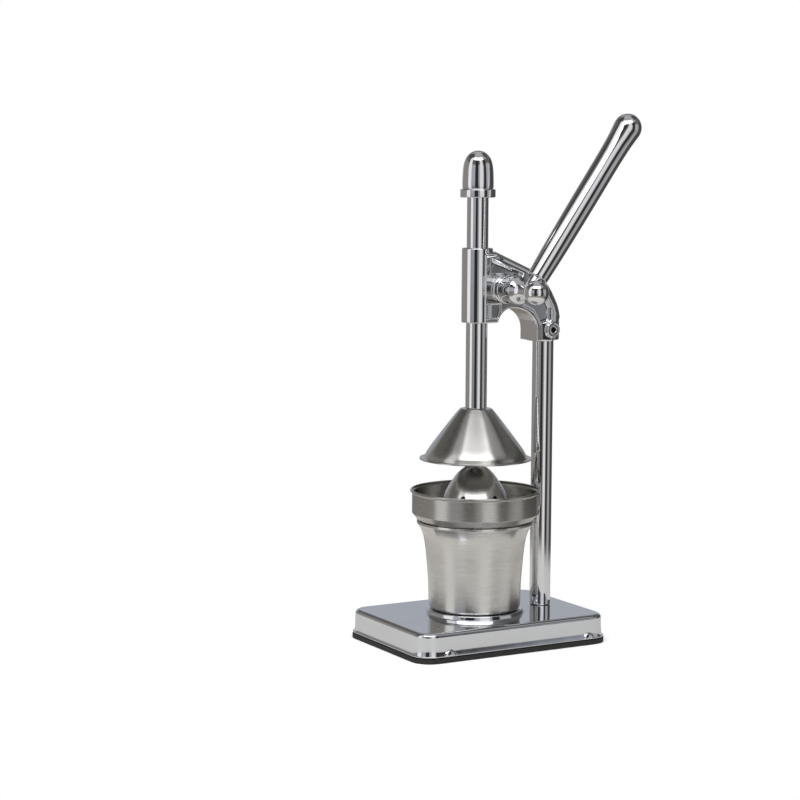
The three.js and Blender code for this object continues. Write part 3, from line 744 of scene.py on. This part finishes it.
# ---- Bell ----------------------------------------------------------------------------------
# Cone spun from stainless sheet with a narrow flat rim, fine turning marks all round. A nut on the
# rod's stud holds it.


def sheet(line, thickness):
    """Gives an open outline a wall of even thickness on its inner side."""
    inner = []
    for i, (r, z) in enumerate(line):
        before, after = Vector(line[max(i - 1, 0)]), Vector(line[min(i + 1, len(line) - 1)])
        run = (after - before).normalized()
        inner.append((max(r - run.y * thickness, 0), z + run.x * thickness))
    return [*line, *reversed(inner)]


def spun_finish(name, tint, low, high, lines, anisotropy=0.7):
    """Stainless sheet brushed in the lathe: fine rings, broken lengthwise, and a soft cloudiness."""
    material, tree, surface, where = start_finish(
        name, Metallic=1.0, Anisotropic=anisotropy, Anisotropic_Rotation=0.25)
    centred = add(tree, "VectorMath", {0: where, 1: (0, -press_y * MM, 0)}, operation="ADD").outputs[0]
    split = add(tree, "SeparateXYZ", {0: centred})
    level = add(tree, "CombineXYZ", {0: split.outputs[0], 1: split.outputs[1]}).outputs[0]
    radius = add(tree, "VectorMath", {0: level}, operation="LENGTH").outputs["Value"]
    round_it = add(tree, "VectorMath", {0: level}, operation="NORMALIZE").outputs[0]
    depth = add(tree, "Math", {0: split.outputs[2], 1: radius}, operation="SUBTRACT").outputs[0]
    rings = add(tree, "Math", {0: depth, 1: lines}, operation="MULTIPLY").outputs[0]
    across = add(tree, "CombineXYZ", {2: rings})
    along = add(tree, "VectorMath", {0: round_it, 3: 2.2}, operation="SCALE").outputs[0]
    brush_at = add(tree, "VectorMath", {0: along, 1: across.outputs[0]}, operation="ADD").outputs[0]
    brush = noise(tree, brush_at, 1, 4, 0.7)
    cloud = noise(tree, where, 22, 3)
    dull = tuple(c * 0.84 for c in tint)
    tree.links.new(blend_colour(tree, spread(tree, brush, 0, 1), tint, dull), surface.inputs["Base Color"])
    terms = {0: spread(tree, brush, low, high), 1: spread(tree, cloud, 0, 0.05)}
    rough = add(tree, "Math", terms, operation="ADD")
    tree.links.new(rough.outputs[0], surface.inputs["Roughness"])
    bump = add(tree, "Bump", {"Strength": 0.22, "Distance": 0.00003, "Height": brush})
    tree.links.new(bump.outputs[0], surface.inputs["Normal"])
    tangent = add(tree, "Tangent", direction_type="RADIAL", axis="Z")
    tree.links.new(tangent.outputs[0], surface.inputs["Tangent"])
    return material


bell_foot, bell_top = (corner.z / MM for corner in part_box("press_bell"))
BELL_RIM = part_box("press_bell")[1].x / MM
cone = flowing([(17.4, bell_top - 2.9), (20, bell_top - 6.1), (24, bell_top - 11.2),
                (31, bell_top - 20.3), (38, bell_top - 29.7), (43.6, bell_top - 37.4),
                (46.4, bell_top - 42), (47.7, bell_top - 45.2)])
shoulder = eased([(9, bell_top), (14.9, bell_top, 1.6), (17.4, bell_top - 2.9)])
flange = eased([(47.7, bell_top - 45.2), (48.2, bell_foot + 1.1, 0.4), (BELL_RIM, bell_foot + 1.1)])
bell_line = [(5, bell_top), *shoulder[1:-1], *cone, *flange[1:]]
steel_bell = spun_finish("spun_bell", (0.70, 0.69, 0.67), 0.16, 0.26, 2600)
bell_mesh = as_mesh("bell", place(turned(sheet(bell_line, -1.0), 144), 0, press_y))
fit("bell", bell_mesh, steel_bell, "ram", "brushed_steel", "press_bell")

# ---- Bell nut ------------------------------------------------------------------------------
# Chamfered hexagon nut over a plain washer, both zinc plated.

nut_low, nut_high = (corner.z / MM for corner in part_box("bell_nut"))
nut_body = [(0, nut_low), (7.9, nut_low), (9.0, nut_low + 1.0), (9.0, nut_high - 1.0), (7.9, nut_high),
            (0, nut_high)]
nut_mesh = carved(as_mesh("nut", place(hexagon(8.8, nut_low, nut_high), 0, press_y)),
                  place(turned(nut_body, 64), 0, press_y), operation="INTERSECT")
nut_mesh = carved(nut_mesh, place(disc(5, nut_low - 1, nut_high + 1), 0, press_y))
fit("hex_nut", nut_mesh, zinc, "ram", "zinc_steel", "bell_nut")

# ---- Juice cup -----------------------------------------------------------------------------
# Drawn stainless cup, brushed round on the lathe: an almost straight wall, a crease, and a flare to
# a plain lip that carries the bowl. It stands loose on the raised seat of the base.

cup_foot, cup_lip = (corner.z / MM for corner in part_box("juice_cup"))
wall = flowing([(43.3, 40), (43.5, 48), (43.9, 57.5), (44.6, 67), (45.3, 76), (46.2, 86), (47.4, 94.5),
                (48.4, 99.6)])
flare = flowing([(48.4, 99.6), (49.7, 103.6), (51.8, 107.6), (54.0, 111.0)])
cup_line = [(0, cup_foot), *eased([(30, cup_foot), (43.1, cup_foot, 3), (43.3, 40)])[1:-1], *wall, *flare[1:],
            *eased([(54.0, 111.0), (54.6, 111.9, 0.4), (54.6, cup_lip)])[1:]]
steel_cup = spun_finish("spun_cup", (0.76, 0.75, 0.73), 0.16, 0.26, 2400, 0.8)
cup_mesh = as_mesh("cup", place(turned(sheet(cup_line, 1.0), 144), 0, press_y))
fit("cup", cup_mesh, steel_cup, "cup_set", "brushed_steel", "juice_cup")

# ---- Bowl ----------------------------------------------------------------------------------
# Spun stainless catch bowl with a rolled rim. Its chamfered foot nests in the cup's lip, and the
# juice runs through the wide hole in its floor.

bowl_foot, bowl_rim = (corner.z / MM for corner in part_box("juice_bowl"))
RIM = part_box("juice_bowl")[1].x / MM
OUTLET = 30
bowl_wall = eased([(36, bowl_foot), (46, bowl_foot, 1.6), (52.9, 113.8, 3), (59.1, 121.2, 1.0),
                   (59.1, bowl_rim - 3.2, 1.0), (RIM - 0.4, bowl_rim - 1.8, 0.7),
                   (RIM - 0.9, bowl_rim, 0.7), (RIM - 2.4, bowl_rim - 0.2)])
bowl_line = [(OUTLET, bowl_foot), *bowl_wall[1:]]
steel_bowl = spun_finish("spun_bowl", (0.58, 0.57, 0.55), 0.22, 0.30, 2200, 0.75)
bowl_mesh = as_mesh("bowl", place(turned(sheet(bowl_line, 1.0), 144), 0, press_y))
fit("bowl", bowl_mesh, steel_bowl, "cup_set", "brushed_steel", "juice_bowl")

# ---- Reamer --------------------------------------------------------------------------------
# Pressed stainless strainer cone, polished, with drain holes punched round it. It rests loose on
# the bowl's floor and splits the fruit as the bell comes down.

reamer_foot, apex = (corner.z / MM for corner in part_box("reamer"))
reamer_cone = flowing([(39.6, reamer_foot + 4), (35, 127.5), (31, 136.2), (26.6, 144), (21.4, 152), (17, 158),
                       (11.5, 163), (5.6, apex - 0.8), (0, apex)])
brim = eased([(51.2, reamer_foot + 1.2), (42, reamer_foot + 1.3, 1.6), (39.6, reamer_foot + 4)])
reamer_line = [*brim[:-1], *reamer_cone]
reamer_mesh = as_mesh("reamer", turned(sheet(reamer_line, 1.0), 144))
HOLE = 2.3
drills = []
for count, z, offset in ((6, 138, 0.112), (12, 124.5, 0)):
    for i in range(count):
        around = Matrix.Rotation((i + offset) * 2 * math.pi / count, 4, "Z")
        outwards = Matrix.Rotation(math.pi / 2, 4, "Y")
        drills.append(place(disc(HOLE, 20, 50, 24), 0, 0, z, around @ outwards))
reamer_mesh = carved(reamer_mesh, *drills)
reamer_mesh.transform(Matrix.Translation((0, press_y * MM, 0)))
steel_reamer = spun_finish("polished_cone", (0.80, 0.79, 0.77), 0.14, 0.22, 1600, 0.4)
fit("strainer_cone", reamer_mesh, steel_reamer, "cup_set", "polished_steel", "reamer")

# ---- Studio --------------------------------------------------------------------------------
# Pale round table in a pale room. The chrome sees a grey room with soft light panels and a few
# narrow dark gaps; a large soft lamp above lights the table.

TABLE = 0.35
FADE = 0.2
PALE = (0.93, 0.93, 0.93)
IN_CHROME = (0.50, 0.49, 0.47)


def floor_finish():
    material, tree, surface, where = start_finish("pale_table", Roughness=0.55, Specular_IOR_Level=0.25)
    cloud = noise(tree, where, 3, 2)
    pale = blend_colour(tree, cloud, PALE, (0.90, 0.90, 0.90))
    eye = add(tree, "LightPath").outputs["Is Camera Ray"]
    colour = add(tree, "Mix", {0: eye, 6: (*IN_CHROME, 1), 7: pale}, data_type="RGBA").outputs[2]
    tree.links.new(colour, surface.inputs["Base Color"])
    distance = add(tree, "VectorMath", {0: where}, operation="LENGTH").outputs["Value"]
    solid = add(tree, "MapRange", {0: distance, 1: TABLE + FADE, 2: TABLE, 3: 0.0, 4: 1.0},
                interpolation_type="SMOOTHSTEP").outputs[0]
    clear = add(tree, "BsdfTransparent")
    mixed = add(tree, "MixShader", {0: solid, 1: clear.outputs[0], 2: surface.outputs[0]})
    tree.links.new(mixed.outputs[0], tree.nodes["Material Output"].inputs["Surface"])
    return material


bpy.ops.mesh.primitive_circle_add(vertices=128, radius=TABLE + FADE, fill_type="NGON", location=(0, 0, 0))
table = bpy.context.object
table.name = "table"
table.data.materials.append(floor_finish())

CAMERA_AT = (1.7295, -1.0623, 0.4575)
AZIMUTH, TILT, ROLL = (math.radians(angle) for angle in (60.54, 6.5, 0.3))
LENS = 98.52

# azimuth from the camera's side, half width, lowest and highest elevation, softness, brightness, warmth
PANELS = [
    (95, 16, -15, 45, 14, 0.42, 0.0),
    (-112, 26, -40, 30, 12, 0.26, 0.07),
    (-106, 30, 36, 64, 10, 0.07, 0.06),
    (122, 22, -40, 58, 12, 0.07, 0.06),
    (0, 180, 24, 38, 4, 0.13, 0.04),
    (-66, 10, -25, 50, 5, 0.95, 0.01),
    (24, 9, -25, 45, 6, 0.80, 0.01),
    (-12, 9, -25, 40, 6, 0.025, 0.12),
    (52, 7, -25, 35, 6, 0.03, 0.10),
    (0, 48, 42, 58, 4, 2.8, 0.0),
]


def room():
    world = bpy.data.worlds.new("studio")
    world.use_nodes = True
    tree = world.node_tree
    tree.nodes.clear()
    way = add(tree, "TexCoord").outputs["Generated"]
    split = add(tree, "SeparateXYZ", {0: way})
    lift = add(tree, "Math", {0: split.outputs[2]}, operation="ARCSINE").outputs[0]
    level = add(tree, "CombineXYZ", {0: split.outputs[0], 1: split.outputs[1]}).outputs[0]
    flat = add(tree, "VectorMath", {0: level}, operation="NORMALIZE").outputs[0]
    ramp = add(tree, "ValToRGB", {0: spread(tree, lift, 0, 1, -math.pi / 2, math.pi / 2)})
    stops = [(0.0, (0.22, 0.21, 0.20)), (0.333, (0.24, 0.21, 0.18)), (0.455, (0.22, 0.215, 0.21)),
             (0.50, (0.40, 0.42, 0.46)), (0.60, (0.42, 0.44, 0.48)), (0.72, (0.34, 0.34, 0.35)),
             (0.86, (0.42, 0.42, 0.43)), (1.0, (0.45, 0.45, 0.46))]
    while len(ramp.color_ramp.elements) < len(stops):
        ramp.color_ramp.elements.new(0.5)
    for element, (position, colour) in zip(ramp.color_ramp.elements, stops):
        element.position = position
        element.color = (*colour, 1)
    light = ramp.outputs[0]
    for around, half, low, high, soft, bright, warmth in PANELS:
        angle = AZIMUTH - math.pi / 2 + math.radians(around)
        facing = (math.cos(angle), math.sin(angle), 0)
        lined_up = add(tree, "VectorMath", {0: flat, 1: facing}, operation="DOT_PRODUCT").outputs["Value"]
        off = add(tree, "Math", {0: lined_up}, operation="ARCCOSINE").outputs[0]
        edges = [(off, half + soft, half), (lift, low - soft, low), (lift, high + soft, high)]
        mask = 1.0
        for value, start, end in edges:
            limits = {0: value, 1: math.radians(start), 2: math.radians(end), 3: 0.0, 4: 1.0}
            part = add(tree, "MapRange", limits, interpolation_type="SMOOTHSTEP").outputs[0]
            mask = add(tree, "Math", {0: mask, 1: part}, operation="MULTIPLY").outputs[0]
        colour = (bright * (1 + warmth), bright, bright * (1 - warmth), 1)
        light = add(tree, "Mix", {0: mask, 6: light, 7: colour}, data_type="RGBA").outputs[2]
    seen = add(tree, "Background", {0: (1, 1, 1, 1), 1: 1.0})
    around_it = add(tree, "Background", {0: light, 1: 1.0})
    eye = add(tree, "LightPath").outputs["Is Camera Ray"]
    mixed = add(tree, "MixShader", {0: eye, 1: around_it.outputs[0], 2: seen.outputs[0]})
    out = add(tree, "OutputWorld")
    tree.links.new(mixed.outputs[0], out.inputs["Surface"])
    return world


bpy.context.scene.world = room()
bpy.context.scene.view_settings.view_transform = "Standard"
lamp = bpy.data.lights.new("soft_lamp", "AREA")
lamp.shape = "DISK"
lamp.size = 1.6
lamp.energy = 34
lamp_stand = bpy.data.objects.new("soft_lamp", lamp)
lamp_stand.location = (0.2, -0.2, 1.8)
lamp_stand.visible_glossy = False
lamp_stand.visible_camera = False
bpy.context.scene.collection.objects.link(lamp_stand)

camera = bpy.data.objects.new("camera", bpy.data.cameras.new("camera"))
bpy.context.scene.collection.objects.link(camera)
gaze = Vector((-math.sin(AZIMUTH) * math.cos(TILT), math.cos(AZIMUTH) * math.cos(TILT), -math.sin(TILT)))
right = Vector((math.cos(AZIMUTH), math.sin(AZIMUTH), 0))
up = right.cross(gaze)
rolled_right = right * math.cos(ROLL) + up * math.sin(ROLL)
rolled_up = up * math.cos(ROLL) - right * math.sin(ROLL)
facing = Matrix((rolled_right, rolled_up, -gaze)).transposed().to_4x4()
camera.matrix_world = Matrix.Translation(CAMERA_AT) @ facing
camera.data.lens = LENS
camera.data.sensor_width = 36
bpy.context.scene.camera = camera
